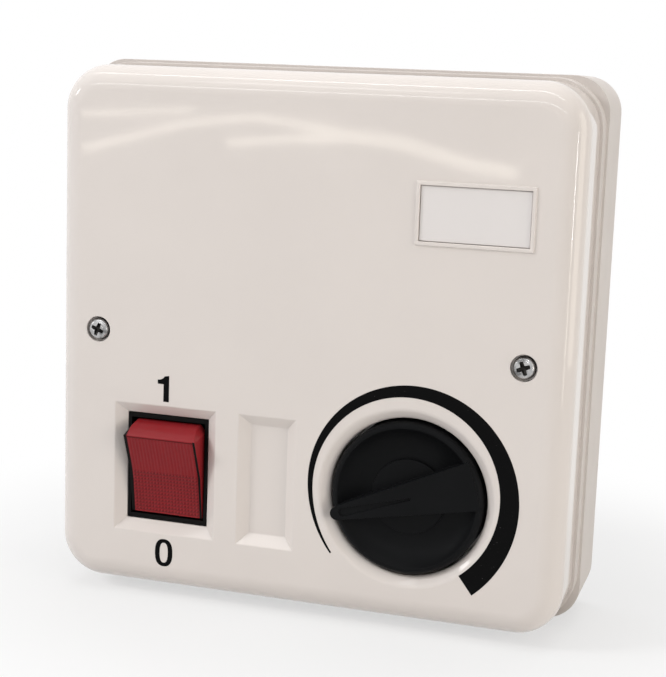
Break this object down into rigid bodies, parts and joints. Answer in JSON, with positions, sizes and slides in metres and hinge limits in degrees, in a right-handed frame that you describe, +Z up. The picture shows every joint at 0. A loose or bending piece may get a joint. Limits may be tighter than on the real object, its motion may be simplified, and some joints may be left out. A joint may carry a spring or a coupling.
{
  "type": "wall-mounted fan speed controller",
  "caption": "Square wall-mounted fan speed controller with a lit red rocker switch, a black pointer knob in a dished well, a blank name plate and cable entries below.",
  "frame": {"origin": "middle of the back face that lies on the wall, midway between the cover screws", "axes": "+Z up the wall, +X to the right seen from the front, +Y into the wall, so the front faces -Y"},
  "size_m": [0.1486, 0.0521, 0.1502],
  "materials": {
    "box_plastic": "moulded, glossy",
    "cover_plastic": "moulded, glossy",
    "plate_plastic": "smooth",
    "switch_plastic": "satin",
    "rocker_plastic": "clear red, prismatic face",
    "knob_plastic": "satin",
    "white_plastic": "satin",
    "rubber": "matte",
    "zinc": "bright zinc plate",
    "steel": "drawn",
    "tin": "tinned",
    "brass": "stamped",
    "copper": "enamelled wire",
    "aluminium": "extruded",
    "ferrite": "coated",
    "board": "solder mask",
    "laminate": "pressed paper laminate",
    "device_black": "moulded",
    "device_blue": "moulded",
    "film_yellow": "moulded",
    "resistor_tan": "lacquered",
    "fuse_glass": "clear",
    "lamp_glass": "clear"
  },
  "bodies": {
    "enclosure": {"base_box": "box_plastic", "front_cover": "cover_plastic", "cover_screws": "zinc", "name_plate": "plate_plastic", "cable_grommets": "rubber", "switch_housing": "switch_plastic", "switch_terminals": "brass", "pot_bush": "zinc", "pot_washer": "steel", "pot_nut": "zinc", "pot_can": "steel", "pot_track": "laminate", "pot_terminals": "tin", "circuit_board": "board", "board_screws": "zinc", "heat_sink": "aluminium", "triac": "device_black", "triac_screw": "zinc", "choke_core": "ferrite", "choke_winding": "copper", "suppression_capacitor": "film_yellow", "fuse_clips": "tin", "fuse_tube": "fuse_glass", "fuse_caps": "tin", "resistors": "resistor_tan", "timing_capacitor": "device_blue", "trimmer_body": "device_blue", "terminal_block": "white_plastic", "terminal_clamps": "brass", "terminal_screws": "zinc"},
    "knob": {"knob": "knob_plastic", "shaft_clip": "steel", "pot_shaft": "steel", "pot_wiper": "brass"},
    "rocker": {"rocker": "rocker_plastic", "contact_plungers": "white_plastic", "plunger_springs": "steel", "neon_lamp": "lamp_glass"},
    "levers": {"contact_levers": "brass"},
    "trimmer": {"trimmer_rotor": "white_plastic"}
  },
  "joints": [
    {"name": "knob_turn", "type": "hinge", "parent": "enclosure", "child": "knob", "pos_m": [0.0304, -0.04, -0.0382], "axis": [0, 1, 0], "range_deg": [-28, 242]},
    {"name": "rocker_tilt", "type": "hinge", "parent": "enclosure", "child": "rocker", "pos_m": [-0.0394, -0.0429, -0.0383], "axis": [-1, 0, 0], "range_deg": [0, 32]},
    {"name": "lever_rock", "type": "hinge", "parent": "enclosure", "child": "levers", "pos_m": [-0.0394, -0.03278, -0.0383], "axis": [1, 0, 0], "range_deg": [0, 20]},
    {"name": "trimmer_turn", "type": "hinge", "parent": "enclosure", "child": "trimmer", "pos_m": [-0.02, -0.0155, 0.01], "axis": [0, 1, 0], "range_deg": [-135, 135]}
  ],
  "couplings": [
    {"joint": "lever_rock", "follows": "rocker_tilt", "ratio": 0.625}
  ]
}
